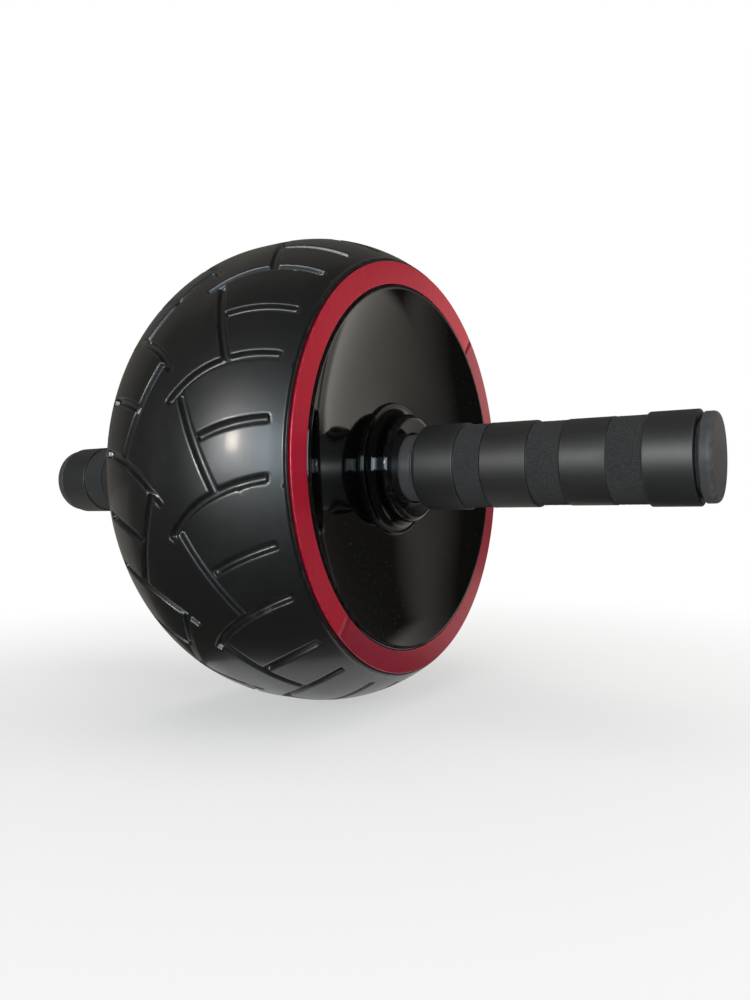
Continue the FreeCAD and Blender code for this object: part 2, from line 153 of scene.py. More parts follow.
def remap(tree, value, low, high, to_low=0.0, to_high=1.0):
    """Smooth step of a value between two limits."""
    node = tree.nodes.new("ShaderNodeMapRange")
    node.interpolation_type = "SMOOTHSTEP"
    fill(tree, node, Value=value, From_Min=low, From_Max=high, To_Min=to_low, To_Max=to_high)
    return node.outputs["Result"]


# %% Surface helpers
def emptied(block):
    """Node tree of a new world or material, with nothing in it."""
    block.use_nodes = True
    block.node_tree.nodes.clear()
    return block.node_tree


def ray_share(tree, *kinds):
    """1 for rays of these kinds, such as Camera or Glossy, and 0 for all others."""
    path = tree.nodes.new("ShaderNodeLightPath").outputs
    share = path[f"Is {kinds[0]} Ray"]
    for kind in kinds[1:]:
        share = calculate(tree, "ADD", share, path[f"Is {kind} Ray"], clamp=True)
    return share


def blend(tree, share, first, second, output):
    """Surface of a world or material, between two shaders."""
    mix = tree.nodes.new("ShaderNodeMixShader")
    for socket, value in zip(mix.inputs, (share, first.outputs[0], second.outputs[0])):
        tree.links.new(value, socket)
    tree.links.new(mix.outputs[0], tree.nodes.new(output).inputs["Surface"])


# %% World
surround_white = (1.0, 1.0, 1.0, 1.0)
room_light = (1.0, 0.985, 0.96, 1.0)
room_strength = 0.38

scene.world = bpy.data.worlds.new("studio")
tree = emptied(scene.world)
room = add(tree, "ShaderNodeBackground", Color=room_light, Strength=room_strength)
surround = add(tree, "ShaderNodeBackground", Color=surround_white, Strength=1.0)
seen = ray_share(tree, "Camera", "Glossy", "Transmission")
blend(tree, seen, room, surround, "ShaderNodeOutputWorld")
print("world: light level", room_strength, "and a white surround")

# %% Floor
floor_half = 4.0
floor_tone = 0.9
fade_start = 0.1
fade_end = 0.42
white_near = 0.5

floor_level = cad_box[0][2]
floor_mesh = bpy.data.meshes.new("floor")
quarters = ((-1, -1), (1, -1), (1, 1), (-1, 1))
corners = [(x * floor_half, y * floor_half, floor_level) for x, y in quarters]
floor_mesh.from_pydata(corners, [], [(0, 1, 2, 3)])
floor = placed("floor", floor_mesh)

floor_material = bpy.data.materials.new("floor_white")
tree = emptied(floor_material)
place = tree.nodes.new("ShaderNodeTexCoord").outputs["Object"]
distance = operate(tree, "ShaderNodeVectorMath", "LENGTH", place).outputs["Value"]
fade = remap(tree, distance, fade_start, fade_end, white_near)
share = calculate(tree, "MULTIPLY", fade, ray_share(tree, "Camera", "Glossy"))
paint = add(tree, "ShaderNodeBsdfDiffuse", Color=(floor_tone, floor_tone, floor_tone, 1.0))
glow = add(tree, "ShaderNodeEmission", Color=surround_white, Strength=1.0)
blend(tree, share, paint, glow, "ShaderNodeOutputMaterial")
floor_mesh.materials.append(floor_material)
print("floor at", round(floor_level, 4), "m")

# %% [markdown]
# The lamps follow the photograph. In front a small warm lamp and a wide cool window draw the sheen on
# the tyre and the grips, and a second window stands towards the right. A plain fill comes from the
# right and from above, and no gloss shows it.

# %% Lamps
warm_tint = (1.0, 0.88, 0.78)
sky_tint = (0.74, 0.9, 1.0)
plain_tint = (1.0, 0.98, 0.95)


def soft_lamp(name, aim_deg, distance_m, size_m, power_w, tint, diffuse=True, glossy=True):
    """Soft lamp that faces the wheel's centre, from an azimuth (0 front, 90 right) and elevation."""
    azimuth, elevation = (math.radians(angle) for angle in aim_deg)
    level = math.cos(elevation)
    towards = Vector((level * math.cos(azimuth), level * math.sin(azimuth), math.sin(elevation)))
    data = bpy.data.lights.new(name, "AREA")
    data.shape = "RECTANGLE"
    data.size, data.size_y = size_m
    data.energy = power_w
    data.color = tint
    lamp = placed(name, data)
    turn = (-towards).to_track_quat("-Z", "Y").to_matrix().to_4x4()
    lamp.matrix_world = Matrix.Translation(towards * distance_m) @ turn
    lamp.visible_diffuse, lamp.visible_glossy = diffuse, glossy


soft_lamp("front_lamp", (3, 11), 1.3, (0.17, 0.17), 6.0, warm_tint, diffuse=False)
soft_lamp("window_lamp", (7, 9), 1.6, (1.2, 0.6), 10.5, sky_tint)
soft_lamp("side_window_lamp", (38, 5), 1.6, (1.0, 0.7), 9.5, sky_tint, diffuse=False)
soft_lamp("fill_lamp", (120, 25), 1.6, (1.0, 1.0), 8.0, plain_tint, glossy=False)
soft_lamp("top_lamp", (20, 82), 1.8, (1.6, 1.6), 10.0, plain_tint, glossy=False)
print("lamps:", len(bpy.data.lights))

# %% [markdown]
# Glossy black shows whatever stands round it, and in the photograph much of that room is dark.
# Screens, as product photographers use, give the covers that room to mirror: a dark tent, a table
# that pales from the right towards the back, and a low wall there with a dark foot. They show only
# in reflections: they take no light from the object, and no view sees them.

# %% Glow of the screens
dark_tone = 0.05
back_tone = 0.18
mat_tone = 0.35
pale_tone = 1.05
screen_tint = (1.0, 0.95, 0.85, 1.0)
paling_deg = (130.0, 165.0)
past_deg = (167.0, 171.0)
past_share = 0.35
dark_foot_deg = (150.0, 141.0)
dark_foot_m = (0.01, 0.035)
foot_rise_deg = (161.0, 169.0)
foot_rise_m = 0.03


def screen_glow(name, darkest, brightest, dark_foot=False):
    """Glow that pales from the right towards the back; a dark foot stays dark there, low down."""
    material = bpy.data.materials.new(name)
    tree = emptied(material)
    place = tree.nodes.new("ShaderNodeTexCoord").outputs["Object"]
    place = add(tree, "ShaderNodeSeparateXYZ", Vector=place).outputs
    angle = calculate(tree, "DEGREES", calculate(tree, "ARCTAN2", place["Y"], place["X"]))
    paling = add(tree, "ShaderNodeMapRange", Value=angle, To_Max=brightest)
    fill(tree, paling, From_Min=paling_deg[0], From_Max=paling_deg[1])
    past = remap(tree, angle, *past_deg, 1.0, past_share)
    tone = calculate(tree, "MULTIPLY", paling.outputs["Result"], past)
    if dark_foot:
        rise = remap(tree, angle, *foot_rise_deg, 0.0, foot_rise_m)
        above = remap(tree, calculate(tree, "SUBTRACT", place["Z"], rise), *dark_foot_m)
        lit = calculate(tree, "MAXIMUM", remap(tree, angle, *dark_foot_deg), above)
        tone = calculate(tree, "MULTIPLY", tone, lit)
    tone = calculate(tree, "MAXIMUM", tone, darkest)
    glow = add(tree, "ShaderNodeEmission", Color=screen_tint, Strength=tone)
    tree.links.new(glow.outputs[0], tree.nodes.new("ShaderNodeOutputMaterial").inputs["Surface"])
    return material


# %% Screens for the reflections
screen_step_deg = 5
mat_level = floor_level + 0.001
tent_rows = ((2.4, mat_level), (2.4, 1.6), (1.6, 2.4), (0.02, 2.6))
table_rows = ((0.06, mat_level), (2.35, mat_level))
wall_rows = ((0.6, mat_level), (0.6, 0.25))


def screen(name, from_deg, to_deg, rows, material):
    """Curved screen between two angles from the front, through rows of (radius, height) in metres."""
    angles = [math.radians(a) for a in range(from_deg, to_deg + 1, screen_step_deg)]
    circle = [(math.cos(a), math.sin(a)) for a in angles]
    corners = [(radius * x, radius * y, height) for radius, height in rows for x, y in circle]
    wide = len(angles)
    cells = [row * wide + k for row in range(len(rows) - 1) for k in range(wide - 1)]
    mesh = bpy.data.meshes.new(name)
    mesh.from_pydata(corners, [], [(c, c + 1, c + wide + 1, c + wide) for c in cells])
    mesh.materials.append(material)
    piece = placed(name, mesh)
    piece.visible_camera = piece.visible_diffuse = piece.visible_shadow = False


screen("tent", -80, 180, tent_rows, screen_glow("tent_grey", dark_tone, dark_tone))
screen("back_tent", -180, -80, tent_rows, screen_glow("back_grey", back_tone, back_tone))
screen("back_table", -180, -70, table_rows, screen_glow("mat_grey", mat_tone, mat_tone))
screen("table", -70, 180, table_rows, screen_glow("table_grey", dark_tone, pale_tone))
screen("wall", 100, 180, wall_rows, screen_glow("wall_grey", dark_tone, pale_tone, dark_foot=True))
print("screens for the reflections: a tent, a table and a wall with a dark foot")

# %% [markdown]
# Almost every piece of the roller is turned on a lathe, so one Geometry Nodes tree turns them all.
# It takes an outline, a chain of points with a radius and a place along the axle, lays its points
# out on a grid, and bends the grid round the axle. Welding closes the seam and the poles. A second
# tree repeats a unit evenly round the axle, which suits the tread.

# %% Geometry Nodes helpers
weld_distance = 0.002 * MM


def geometry_tree(name, inputs):
    """New geometry tree with named inputs, each a (label, socket type, default) triple."""
    tree = bpy.data.node_groups.new(name, "GeometryNodeTree")
    tree.interface.new_socket("Geometry", in_out="INPUT", socket_type="NodeSocketGeometry")
    for label, kind, default in inputs:
        socket = tree.interface.new_socket(label, in_out="INPUT", socket_type=kind)
        if default is not None:
            socket.default_value = default
    tree.interface.new_socket("Geometry", in_out="OUTPUT", socket_type="NodeSocketGeometry")
    return tree, tree.nodes.new("NodeGroupInput").outputs


def end_tree(tree, geometry, inputs):
    """Weld, smooth, realize and paint, the way every tree here ends."""
    weld = add(tree, "GeometryNodeMergeByDistance", Geometry=geometry, Distance=weld_distance)
    smooth = add(tree, "GeometryNodeSetShadeSmooth", Geometry=weld.outputs[0])
    real = add(tree, "GeometryNodeRealizeInstances", Geometry=smooth.outputs[0])
    paint = add(tree, "GeometryNodeSetMaterial", Geometry=real.outputs[0], Material=inputs["Material"])
    tree.links.new(paint.outputs[0], tree.nodes.new("NodeGroupOutput").inputs["Geometry"])


def whole(tree, operation, first, second):
    """Integer math node; returns its output socket."""
    return operate(tree, "FunctionNodeIntegerMath", operation, first, second).outputs[0]


def made_by(tree, name, source, **settings):
    """Run a tree on a source mesh, with inputs set by label, and keep the result as a plain mesh."""
    piece = placed(name, source)
    modifier = piece.modifiers.new(tree.name, "NODES")
    modifier.node_group = tree
    labels = [item for item in tree.interface.items_tree if item.in_out == "INPUT"]
    sockets = {item.name: item.identifier for item in labels}
    for label, value in settings.items():
        modifier[sockets[label.replace("_", " ")]] = value
    graph = bpy.context.evaluated_depsgraph_get()
    plain = bpy.data.meshes.new_from_object(piece.evaluated_get(graph), depsgraph=graph)
    piece.modifiers.remove(modifier)
    piece.data = plain
    return piece


# %% Tree that turns an outline round the axle
turning, inputs = geometry_tree(
    "turn_round_axle",
    (
        ("Segments", "NodeSocketInt", 128),
        ("First Angle", "NodeSocketFloat", 0.0),
        ("Sweep", "NodeSocketFloat", 2 * math.pi),
        ("Grain Height", "NodeSocketFloat", 0.0),
        ("Grain Scale", "NodeSocketFloat", 1000.0),
        ("Grain Seed", "NodeSocketFloat", 0.0),
        ("Material", "NodeSocketMaterial", None),
    ),
)
count = add(turning, "GeometryNodeAttributeDomainSize", Geometry=inputs["Geometry"])
point_count = count.outputs["Point Count"]
columns = whole(turning, "ADD", inputs["Segments"], 1)
grid = add(turning, "GeometryNodeMeshGrid", Vertices_X=point_count, Vertices_Y=columns)
index = turning.nodes.new("GeometryNodeInputIndex").outputs[0]
row = whole(turning, "DIVIDE_FLOOR", index, columns)
column = whole(turning, "MODULO", index, columns)


def read_outline(kind, value):
    """Value of the outline's point that belongs to the grid's row."""
    node = turning.nodes.new("GeometryNodeSampleIndex")
    node.data_type = kind
    fill(turning, node, Geometry=inputs["Geometry"], Value=value, Index=row)
    return node.outputs[0]


def outline_mark(label):
    """Mark stored on the outline's points, such as its worn edges."""
    node = turning.nodes.new("GeometryNodeInputNamedAttribute")
    node.data_type = "FLOAT"
    return read_outline("FLOAT", fill(turning, node, Name=label).outputs[0])


# %% Bend and grain of the turned grid
position = turning.nodes.new("GeometryNodeInputPosition").outputs[0]
outline_point = read_outline("FLOAT_VECTOR", position)
point = add(turning, "ShaderNodeSeparateXYZ", Vector=outline_point).outputs
swept = calculate(turning, "MULTIPLY", column, inputs["Sweep"])
turn = calculate(turning, "DIVIDE", swept, inputs["Segments"])
turn = calculate(turning, "ADD", turn, inputs["First Angle"])
sine, cosine = calculate(turning, "SINE", turn), calculate(turning, "COSINE", turn)


def round_axle(radius):
    """Place on the lathe at a radius, for the grid's row and column."""
    front = calculate(turning, "MULTIPLY", radius, sine)
    upward = calculate(turning, "MULTIPLY", radius, cosine)
    return add(turning, "ShaderNodeCombineXYZ", X=front, Y=point["Y"], Z=upward).outputs[0]


ground_mark = outline_mark("ground")
cells = turning.nodes.new("ShaderNodeTexNoise")
cells.noise_dimensions = "4D"
fill(turning, cells, Vector=round_axle(point["X"]), W=inputs["Grain Seed"], Detail=2.0)
fill(turning, cells, Scale=inputs["Grain Scale"])
swing = calculate(turning, "SUBTRACT", cells.outputs[0], 0.5)
height = calculate(turning, "MULTIPLY", swing, inputs["Grain Height"])
height = calculate(turning, "MULTIPLY", height, ground_mark)
grained = round_axle(calculate(turning, "ADD", point["X"], height))
bent = add(turning, "GeometryNodeSetPosition", Geometry=grid.outputs["Mesh"], Position=grained)
marked = bent.outputs[0]
for label, mark in (("edge", outline_mark("edge")), ("ground", ground_mark)):
    store = turning.nodes.new("GeometryNodeStoreNamedAttribute")
    store.data_type = "FLOAT"
    marked = fill(turning, store, Geometry=marked, Name=label, Value=mark).outputs[0]
end_tree(turning, marked, inputs)
print("tree:", turning.name, len(turning.nodes), "nodes")

# %% Tree that repeats a unit round the axle
repeating, inputs = geometry_tree(
    "repeat_round_axle",
    (
        ("Count", "NodeSocketInt", 1),
        ("First Angle", "NodeSocketFloat", 0.0),
        ("Material", "NodeSocketMaterial", None),
    ),
)
points = add(repeating, "GeometryNodePoints", Count=inputs["Count"])
index = repeating.nodes.new("GeometryNodeInputIndex").outputs[0]
step = calculate(repeating, "DIVIDE", 2 * math.pi, inputs["Count"])
turn = calculate(repeating, "MULTIPLY_ADD", index, step, inputs["First Angle"])
spin = add(repeating, "ShaderNodeCombineXYZ", Y=turn)
copies = add(repeating, "GeometryNodeInstanceOnPoints", Points=points.outputs[0])
fill(repeating, copies, Instance=inputs["Geometry"], Rotation=spin.outputs[0])
real = add(repeating, "GeometryNodeRealizeInstances", Geometry=copies.outputs[0])
end_tree(repeating, real.outputs[0], inputs)
print("tree:", repeating.name, len(repeating.nodes), "nodes")

# %% [markdown]
# An outline is written as a maker's sketch: its corners, each with the radius that rounds it. The
# helper turns each round into an arc, and puts a point just before and after it, so that flat
# stretches shade flat. Convex rounds are marked, because that is where a piece wears.

# %% Outline helpers
arc_step_deg = 11.0
arc_step_mm = 1.3
support_share = 0.35
worn_round_mm = 2.6


def rounded(corners):
    """Points (radius, along, edge mark) from corners (radius, along[, round]), solid on the left."""
    points = []
    for number, corner in enumerate(corners):
        here = Vector(corner[:2])
        size = corner[2] if len(corner) > 2 else 0.0
        if not size:
            points.append((here.x, here.y, 0.0))
            continue
        back = (Vector(corners[number - 1][:2]) - here).normalized()
        ahead = (Vector(corners[number + 1][:2]) - here).normalized()
        half_gap = back.angle(ahead) / 2
        start = here + back * (size / math.tan(half_gap))
        middle = here + (back + ahead).normalized() * (size / math.sin(half_gap))
        turn = math.pi - 2 * half_gap
        side = 1.0 if back.cross(ahead) < 0 else -1.0
        steps = math.ceil(max(math.degrees(turn) / arc_step_deg, turn * size / arc_step_mm, 2))
        mark = 1.0 if side > 0 and size <= worn_round_mm else 0.0
        support = min(size, 1.0) * support_share
        spoke = start - middle
        points.append((*(start + back * support), 0.0))
        for k in range(steps + 1):
            swing = Matrix.Rotation(side * turn * k / steps, 2)
            points.append((*(middle + swing @ spoke), mark))
        end = here + ahead * (size / math.tan(half_gap))
        points.append((*(end + ahead * support), 0.0))
    return points


# %% Outline meshes and pieces
def outline_mesh(name, points, ground_bands=()):
    """Chain of outline points as a mesh, with their edge marks and the marks of ground bands."""
    mesh = bpy.data.meshes.new(name)
    links = [(k, k + 1) for k in range(len(points) - 1)]
    mesh.from_pydata([(radius * MM, along * MM, 0.0) for radius, along, mark in points], links, [])
    edge = mesh.attributes.new("edge", "FLOAT", "POINT")
    edge.data.foreach_set("value", [mark for radius, along, mark in points])
    inside = [any(low < along < high for low, high in ground_bands) for radius, along, mark in points]
    ground = mesh.attributes.new("ground", "FLOAT", "POINT")
    ground.data.foreach_set("value", [float(flag) for flag in inside])
    return mesh


def face_outwards(piece):
    """Turn the faces of a closed piece outwards, and print its size."""
    shape = bmesh.new()
    shape.from_mesh(piece.data)
    if shape.calc_volume(signed=True) < 0:
        bmesh.ops.reverse_faces(shape, faces=shape.faces)
    open_edges = sum(not edge.is_manifold for edge in shape.edges)
    triangles = sum(len(face.verts) - 2 for face in shape.faces)
    volume = shape.calc_volume() / MM**3 / 1000
    shape.to_mesh(piece.data)
    shape.free()
    print(f"{piece.name}: {triangles} triangles, {volume:.1f} cm3, {open_edges} open edges")
    return piece


def finish_piece(piece, body, slot, *nodes):
    """Tie a piece to its CAD body, and hide the CAD nodes that it stands for; the slot is not used."""
    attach(piece, body)
    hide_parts(*nodes)


def other_side(piece, name):
    """Copy of a right-hand piece for the left, turned half round about the upright."""
    twin = placed(name, piece.data.copy())
    twin.data.transform(Matrix.Rotation(math.pi, 4, "Z"))
    return twin


def turned_pair(name, outline, segments, body, slot, node, **grain):
    """Turned piece for each side, from the right one's outline, in place of the CAD nodes."""
    paint = materials[slot]
    right = made_by(turning, name + "_right", outline, Segments=segments, Material=paint, **grain)
    left = other_side(face_outwards(right), name + "_left")
    finish_piece(right, body, slot, node + "_right")
    finish_piece(left, body, slot, node + "_left")
    return right, left


# %% [markdown]
# Finishes come before the pieces, because each tree paints what it makes. Three effects are shared:
# a fine grain, the uneven sheen that handling leaves, and wear along the marked edges. Each is one
# node group with its own scale and strength in each material. They read Object coordinates, and the
# pieces sit at the origin, so the patterns stay put as the wheel turns.

# %% Shared shader groups
def shader_group(name, inputs, outputs):
    """New shader group with named value inputs and outputs; returns its tree and input sockets."""
    tree = bpy.data.node_groups.new(name, "ShaderNodeTree")
    tree.interface.new_socket("Vector", in_out="INPUT", socket_type="NodeSocketVector")
    for label, default in inputs:
        socket = tree.interface.new_socket(label, in_out="INPUT", socket_type="NodeSocketFloat")
        socket.default_value = default
    for label in outputs:
        tree.interface.new_socket(label, in_out="OUTPUT", socket_type="NodeSocketFloat")
    return tree, tree.nodes.new("NodeGroupInput").outputs


def noise(tree, vector, scale, detail=2.0, roughness=0.5):
    """Value of a noise texture."""
    texture = dict(Vector=vector, Scale=scale, Detail=detail, Roughness=roughness)
    return add(tree, "ShaderNodeTexNoise", **texture).outputs[0]


grain_inputs = (("Scale", 1000.0), ("Fleck", 0.5))
fine_grain, inputs = shader_group("fine_grain", grain_inputs, ("Height", "Fleck"))
coarse = noise(fine_grain, inputs["Vector"], inputs["Scale"], 4.0, 0.65)
speck = add(fine_grain, "ShaderNodeTexVoronoi", Vector=inputs["Vector"], Scale=inputs["Scale"])
fleck = remap(fine_grain, speck.outputs["Distance"], 0.55, 0.05)
fleck = calculate(fine_grain, "MULTIPLY", fleck, inputs["Fleck"])
add(fine_grain, "NodeGroupOutput", Height=coarse, Fleck=fleck)

handling, inputs = shader_group("handling_marks", (("Scale", 20.0),), ("Mask",))
broad = noise(handling, inputs["Vector"], inputs["Scale"], 3.0, 0.6)
narrow_scale = calculate(handling, "MULTIPLY", inputs["Scale"], 9.0)
narrow = noise(handling, inputs["Vector"], narrow_scale)
broad, narrow = remap(handling, broad, 0.42, 0.72), remap(handling, narrow, 0.25, 0.75)
add(handling, "NodeGroupOutput", Mask=calculate(handling, "MULTIPLY", broad, narrow))

wear_inputs = (("Edge", 0.0), ("Scale", 300.0), ("Amount", 1.0))
edge_wear, inputs = shader_group("edge_wear", wear_inputs, ("Mask",))
patchy = noise(edge_wear, inputs["Vector"], inputs["Scale"], 3.0, 0.6)
patchy = remap(edge_wear, patchy, 0.35, 0.7)
mask = calculate(edge_wear, "MULTIPLY", inputs["Edge"], patchy)
add(edge_wear, "NodeGroupOutput", Mask=calculate(edge_wear, "MULTIPLY", mask, inputs["Amount"]))
print("shared groups:", fine_grain.name, handling.name, edge_wear.name)


# %% Material helpers
class Finish:
    """Material with a Principled shader, and short calls for the nodes that feed it."""

    def __init__(self, name, **constants):
        self.material = bpy.data.materials.new(name)
        self.tree = emptied(self.material)
        self.shader = add(self.tree, "ShaderNodeBsdfPrincipled", **constants)
        output = self.tree.nodes.new("ShaderNodeOutputMaterial")
        self.tree.links.new(self.shader.outputs[0], output.inputs["Surface"])
        self.place = self.tree.nodes.new("ShaderNodeTexCoord").outputs["Object"]

    def group(self, shared, **sockets):
        """A shared effect placed in this material, with its own values."""
        node = self.tree.nodes.new("ShaderNodeGroup")
        node.node_tree = shared
        return fill(self.tree, node, Vector=self.place, **sockets).outputs

    def grain(self, scale, fleck):
        """Height and flecks of the shared fine grain."""
        return self.group(fine_grain, Scale=scale, Fleck=fleck)

    def handled(self, scale):
        """Mask of the shared handling marks."""
        return self.group(handling, Scale=scale)["Mask"]

    def worn(self, scale, amount):
        """Mask of the shared wear on the marked edges."""
        return self.group(edge_wear, Edge=self.mark("edge"), Scale=scale, Amount=amount)["Mask"]

    def lines(self, stretch, detail, roughness=0.5):
        """Fine lines: a noise with its own scale in each direction."""
        mapping = add(self.tree, "ShaderNodeMapping", Vector=self.place, Scale=stretch)
        return noise(self.tree, mapping.outputs[0], 1.0, detail, roughness)

    def mark(self, name):
        """Mark that the piece's mesh carries."""
        node = self.tree.nodes.new("ShaderNodeAttribute")
        node.attribute_name = name
        return node.outputs["Fac"]

    def mix(self, share, first, second):
        """Colour between two colours, or a colour and a socket, by a varying share."""
        node = self.tree.nodes.new("ShaderNodeMix")
        node.data_type = "RGBA"
        sockets = (node.inputs[0], node.inputs[6], node.inputs[7])
        for socket, value in zip(sockets, (share, first, second)):
            join(self.tree, value, socket)
        return node.outputs[2]

    def bump(self, height, distance_mm, strength=1.0):
        """Normal from a height."""
        node = self.tree.nodes.new("ShaderNodeBump")
        fill(self.tree, node, Height=height, Distance=distance_mm * MM, Strength=strength)
        return node.outputs[0]

    def feed(self, **sockets):
        """Link or set the shader's sockets."""
        fill(self.tree, self.shader, **sockets)
        return self.material


def grey(tone, warmth=0.0):
    """Grey colour of a linear tone, a little warm or cool."""
    return (tone * (1 + warmth), tone, tone * (1 - warmth), 1.0)


# %% [markdown]
# The tyre is satin black rubber: dark, with a soft broad sheen. Its grain is fine, its groove floors
# hold a little dust, and the groove edges are rubbed paler.

# %% Tyre rubber
def tyre_rubber():
    """Satin black rubber with fine grain, dusty grooves and rubbed groove edges."""
    gloss = dict(Specular_IOR_Level=0.8, Coat_Weight=0.36, Coat_Roughness=0.15, Coat_IOR=1.4)
    finish = Finish("tyre_rubber", **gloss)
    tree = finish.tree
    grain = finish.grain(1500.0, 0.5)
    dusty = calculate(tree, "MULTIPLY", finish.mark("groove"), 0.35)
    colour = finish.mix(grain["Fleck"], grey(0.005), grey(0.009))
    colour = finish.mix(dusty, colour, grey(0.03, 0.04))
    colour = finish.mix(finish.worn(260.0, 0.4), colour, grey(0.04, 0.02))
    rough = vary(tree, finish.handled(30.0), base=0.37, by=0.08)
    rough = vary(tree, grain["Height"], base=rough, by=0.08)
    normal = finish.bump(grain["Height"], 0.04, 0.5)
    return finish.feed(Base_Color=colour, Roughness=rough, Normal=normal)


# %% [markdown]
# The covers are polished black plastic, which mirrors the room. A very slow ripple and faint
# handling marks keep that mirror from being perfect.

# %% Cover gloss
def cover_gloss():
    """Polished black plastic with a slow ripple and faint handling marks."""
    finish = Finish("cover_gloss", Specular_IOR_Level=0.5, IOR=1.5)
    tree = finish.tree
    speck = finish.grain(420.0, 1.0)
    dust = calculate(tree, "MULTIPLY", remap(tree, speck["Fleck"], 0.86, 0.97), 0.35)
    soiled = calculate(tree, "ADD", dust, finish.worn(500.0, 0.25))
    colour = finish.mix(soiled, grey(0.0015), grey(0.04, 0.02))
    rough = vary(tree, finish.handled(26.0), base=0.045, by=0.06)
    rough = vary(tree, dust, base=rough, by=0.5)
    ripple = noise(tree, finish.place, 24.0, 1.0)
    return finish.feed(Base_Color=colour, Roughness=rough, Normal=finish.bump(ripple, 0.06, 0.5))


# %% [markdown]
# The trim rings are a metallic red film under a clear layer. Fine brushing runs round the ring. The
# two halves are cut from one sheet at two angles, and one half is painted lighter and the other
# darker: painted highlight and painted shade for the way each half's film catches the light.

# %% Trim film
def trim_film(name, tone, brushing):
    """Metallic red film under a clear layer, with fine brushing."""
    finish = Finish(name, Metallic=0.5, Coat_Weight=0.45, Coat_Roughness=0.2, Coat_IOR=1.45)
    tree = finish.tree
    lines = finish.lines(brushing, 3.0, 0.7)
    pale = tuple(min(1.0, 1.12 * c) for c in tone[:3]) + (1.0,)
    colour = finish.mix(remap(tree, lines, 0.3, 0.7), tone, pale)
    colour = finish.mix(finish.worn(400.0, 0.5), colour, (0.62, 0.2, 0.22, 1.0))
    rough = vary(tree, lines, base=0.34, by=0.04)
    rough = vary(tree, finish.handled(40.0), base=rough, by=0.08)
    return finish.feed(Base_Color=colour, Roughness=rough, Normal=finish.bump(lines, 0.005, 0.2))


# %% [markdown]
# The foam grips have two faces. Moulding leaves a closed satin skin, and grinding it away in bands
# shows the matte open cells. The mesh marks the ground bands, and the material reads that mark.

# %% Grip foam
def grip_foam():
    """Black foam: satin skin on the smooth bands, matte open cells on the ground bands."""
    finish = Finish("grip_foam", Specular_IOR_Level=1.0)
    tree = finish.tree
    ground = finish.mark("ground")
    cells = finish.grain(1900.0, 1.0)
    skin = finish.grain(2600.0, 0.4)
    smooth_colour = finish.mix(skin["Fleck"], grey(0.013), grey(0.019))
    ground_colour = finish.mix(cells["Fleck"], grey(0.008), grey(0.034))
    colour = finish.mix(ground, smooth_colour, ground_colour)
    colour = finish.mix(finish.worn(350.0, 0.4), colour, grey(0.05))
    rough = vary(tree, finish.handled(45.0), base=0.51, by=0.08)
    rough = vary(tree, ground, base=rough, by=0.42)
    relief = calculate(tree, "MULTIPLY", cells["Height"], ground)
    relief = calculate(tree, "MULTIPLY_ADD", skin["Height"], 0.12, relief)
    return finish.feed(Base_Color=colour, Roughness=rough, Normal=finish.bump(relief, 0.25, 0.7))


# %% [markdown]
# The neck of each handle and its end cap are moulded plastic with a satin spark-eroded grain. They
# differ in tone: the neck is a mid grey, and the cap is darker and duller.

# %% Moulded plastic
def moulded_plastic(name, tone, roughness, grain_scale, grain_depth, gloss=0.95):
    """Satin moulded plastic with a fine eroded grain and slightly rubbed edges."""
    finish = Finish(name, Specular_IOR_Level=gloss)
    grain = finish.grain(grain_scale, 0.6)
    colour = finish.mix(grain["Fleck"], grey(tone), grey(tone * 1.5))
    colour = finish.mix(finish.worn(420.0, 0.5), colour, grey(tone * 2.2))
    rough = vary(finish.tree, finish.handled(50.0), base=roughness, by=0.1)
    normal = finish.bump(grain["Height"], grain_depth, 0.6)
    return finish.feed(Base_Color=colour, Roughness=rough, Normal=normal)


# %% [markdown]
# The inner pieces are seldom seen: turned and ground steel with fine lines, zinc-plated fasteners,
# and plain moulded plastic for the drum.

# %% Inner metals
def inner_steel(name, tone, roughness, line_scale):
    """Steel with fine tool lines and a faint stain."""
    finish = Finish(name, Metallic=1.0)
    tree = finish.tree
    lines = finish.lines((60.0, line_scale, 60.0), 2.0)
    stain = calculate(tree, "MULTIPLY", finish.handled(60.0), 0.4)
    colour = finish.mix(lines, grey(tone * 0.9, 0.01), grey(tone, -0.01))
    colour = finish.mix(stain, colour, grey(tone * 0.6, 0.06))
    rough = vary(tree, lines, base=roughness, by=0.15)
    return finish.feed(Base_Color=colour, Roughness=rough, Normal=finish.bump(lines, 0.01, 0.3))


# %% Materials by slot
# The two reds are one film in two painted lights: the lighter is painted highlight, the darker painted
# shade.
lit_red_tone = (0.64, 0.008, 0.04, 1.0)
shaded_red_tone = (0.43, 0.014, 0.044, 1.0)
materials = {
    "tyre_rubber": tyre_rubber(),
    "cover_gloss": cover_gloss(),
    "trim_red": trim_film("trim_film_painted_light", lit_red_tone, (900.0, 60.0, 60.0)),
    "trim_painted_shade": trim_film("trim_film_painted_shade", shaded_red_tone, (60.0, 60.0, 900.0)),
    "grip_foam": grip_foam(),
    "core_plastic": moulded_plastic("core_plastic", 0.09, 0.36, 1800.0, 0.03),
    "cap_plastic": moulded_plastic("cap_plastic", 0.06, 0.5, 1500.0, 0.04, 0.3),
    "drum_plastic": moulded_plastic("drum_plastic", 0.06, 0.5, 900.0, 0.05),
    "bearing_steel": inner_steel("bearing_steel", 0.62, 0.16, 2400.0),
    "cage_steel": inner_steel("cage_steel", 0.5, 0.34, 900.0),
    "axle_steel": inner_steel("axle_steel", 0.55, 0.24, 1600.0),
    "fastener_steel": inner_steel("fastener_steel", 0.52, 0.3, 1200.0),
}
print("materials:", ", ".join(materials))

# %% [markdown]
# The tread is what people look at first. Each half of the tyre repeats one unit thirteen times: a
# long curve from the shoulder to the crown, a diagonal and a short cross groove, and the left half
# is a mirror image, shifted round. The grooves' edges are soft and catch the light, so they are real
# geometry here: one strip of the tyre, as wide as a unit, is triangulated with rows of points along
# every groove edge, and each point is sunk by its distance from the groove's wall.

